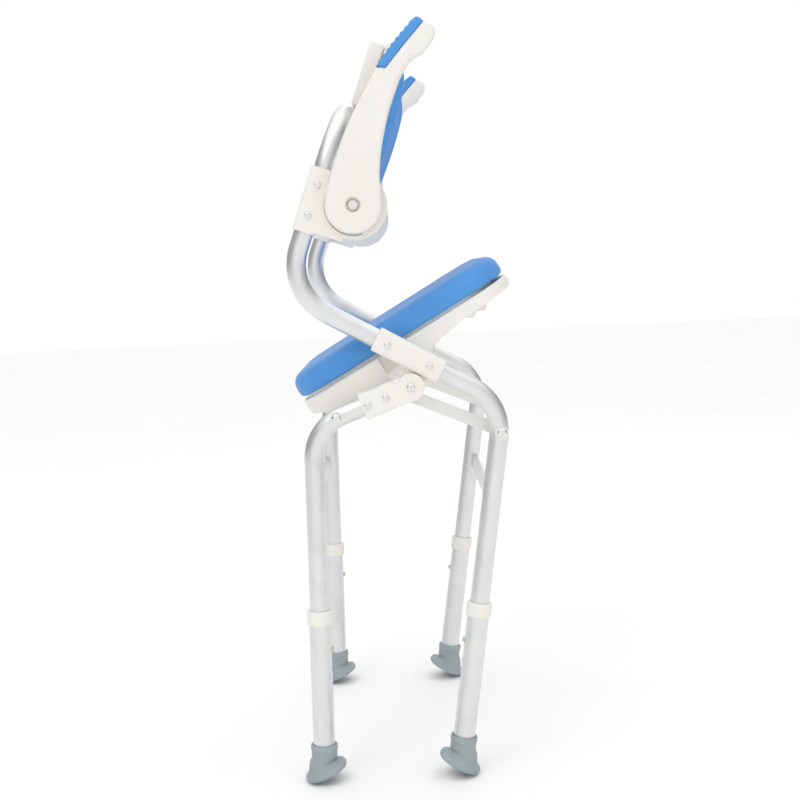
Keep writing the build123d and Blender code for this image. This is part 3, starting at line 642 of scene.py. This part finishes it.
def makeArmrest(side, sign):
    part = armrest
    place = placed(part["angle"], pivotOf("armrest_" + side + "_turn"))
    low, high = localBox("armrest_" + side, place)
    middleY, thick = (low.y + high.y) / 2, high.y - low.y
    spots = [(x * mm, z * mm, "AUTO") for x, z in part["front"] + part["tip"]]
    spots += [(x * mm, z * mm, "VECTOR") for x, z in part["notch"]]
    spots += [(x * mm, z * mm, "AUTO") for x, z in part["back"]]
    for turn in range(100, 310, 20):
        spots.append((part["hub"] * cos(radians(turn)), part["hub"] * sin(radians(turn)), "AUTO"))
    blade = softPlate(spots, thick, part["edge"], part["recessRadius"])
    sunk = part["recess"] - mm
    core = bmesh.new()
    bmesh.ops.create_cone(
        core,
        cap_ends=True,
        segments=32,
        radius1=part["recessRadius"] + mm,
        radius2=part["recessRadius"] + mm,
        depth=thick - part["recess"] - mm,
        matrix=Matrix.Translation((0, -sign * sunk / 2, 0)) @ Matrix.Rotation(pi / 2, 4, "X"),
    )
    move = place @ Matrix.Translation((0, middleY, 0))
    body = "armrest_" + side
    addPiece("armrest_blade_" + side, joined([blade, core]), move, "white_plastic", body, body)

    # pad with cross ribs along its outer edge
    inner = [(x * mm, z * mm) for x, z in part["notch"]]
    first, last = Vector(inner[-1]), Vector([value * mm for value in part["padTop"]])
    spots = [(x, z, "VECTOR") for x, z in inner[:3]]
    spots.append((first.x, first.y + 0.3 * mm, "VECTOR"))
    run = last - first
    square = Vector((-run.y, run.x)).normalized()
    for wave in range(2 * part["waves"]):
        share = (wave + 0.8) / (2 * part["waves"] + 2)
        lift = part["waveHigh"] * (1 if wave % 2 else 0) + part["bow"] * sin(pi * share)
        spot = first + run * share + square * lift
        spots.append((spot.x, spot.y, "AUTO"))
    spots.append((last.x - 4 * mm, last.y + 2.2 * mm, "AUTO"))
    spots.append((last.x + 0.5 * mm, last.y - 1.5 * mm, "AUTO"))
    pad = softPlate(spots, thick + part["padProud"], part["padBevel"])
    strip = addPiece("armrest_strip_" + side, pad, move, "blue_foam", body, "armrest_pad_" + side)


# rubber feet: rings that lean from square to the leg to flat on the floor
foot = {
    "segments": 48,
    "lead": -3.5 * mm,  # disc's middle from the leg's line
    "leadFrom": 18 * mm,
    "leadTo": 10 * mm,
    # height up the leg, radius, share of the lean, in millimetres
    "socket": [
        (41, 14.6, 0), (41.6, 15.4, 0), (41.2, 17.2, 0), (39.5, 17.9, 0), (36, 17.8, 0),
        (33.5, 17.3, 0), (32.8, 16.9, 0), (26, 17.0, 0), (23.5, 17.1, 0), (21, 17.4, 0.3),
    ],
    "disc": [
        (15, 18.2, 1), (12, 20.4, 1), (10.2, 23.6, 1), (9.2, 26.0, 1), (7.6, 28.2, 1),
        (5, 29, 1), (2.2, 28.6, 1), (0.5, 27.2, 1), (0, 25.6, 1),
    ],
    "grooves": (22.5, 15.5, 8.5),  # outer radii of the grooves in the sole
    "grooveWide": 3,
    "grooveSide": 0.6,
    "grooveDeep": 1.3,
}


def footRings():
    part = foot
    rings = part["socket"] + part["disc"]
    wide, side, deep = part["grooveWide"], part["grooveSide"], part["grooveDeep"]
    for outer in part["grooves"]:
        inner = outer - wide
        rings = rings + [(0, outer, 1), (deep, outer - side, 1), (deep, inner + side, 1), (0, inner, 1)]
    return rings


def makeFoot(end, side):
    part = foot
    name = end + "_" + side
    sole = mounts[name + "_sole"]
    leg = Vector(joints[end + "_leg_" + side + "_length"]["axis"])
    down, bottom = Vector(sole["axis"]), Vector(sole["pos_m"])
    legTurn = (-leg).rotation_difference(-down)
    upright = Vector((0, 0, 1)).rotation_difference(-leg)
    lead = Vector((part["lead"] if end == "front" else -part["lead"], 0, 0))
    rings = footRings()
    shape = bmesh.new()
    edges = []
    for index, (height, radius, share) in enumerate(rings):
        ring = bmesh.ops.create_circle(
            shape, cap_ends=index == len(rings) - 1, segments=part["segments"], radius=radius * mm
        )["verts"]
        turn = Quaternion().slerp(legTurn, share)
        middle = bottom - leg * (height * mm) * (1 - share) - down * (height * mm) * share
        shift = lead * ramp(height * mm, part["leadFrom"], part["leadTo"])
        for vert in ring:
            vert.co = middle + turn @ (upright @ (vert.co + shift))
        newEdges = []
        for vert in ring:
            newEdges += [edge for edge in vert.link_edges if edge not in newEdges]
        if edges:
            bmesh.ops.bridge_loops(shape, edges=edges + newEdges)
        edges = newEdges
    addPiece("foot_cup_" + name, shape, Matrix(), "grey_rubber", end + "_leg_" + side, "foot_" + name)


def finishNodes():
    for entry in frame["record"]["subparts"]:
        piece = nodes[entry["node"]]
        piece.data.materials.clear()
        piece.data.materials.append(finishes[entry["material_slot"]])


finishNodes()
print("finishes set")
makeSeatCushion()
makeBackrestShell()
makeBackrestCushion()
print("seat and backrest made")
for side, sign in sides.items():
    makeArmrest(side, sign)
    for end in ("front", "rear"):
        makeFoot(end, side)
print("armrests and feet made")
addStudio()
addCamera()
print("studio set")
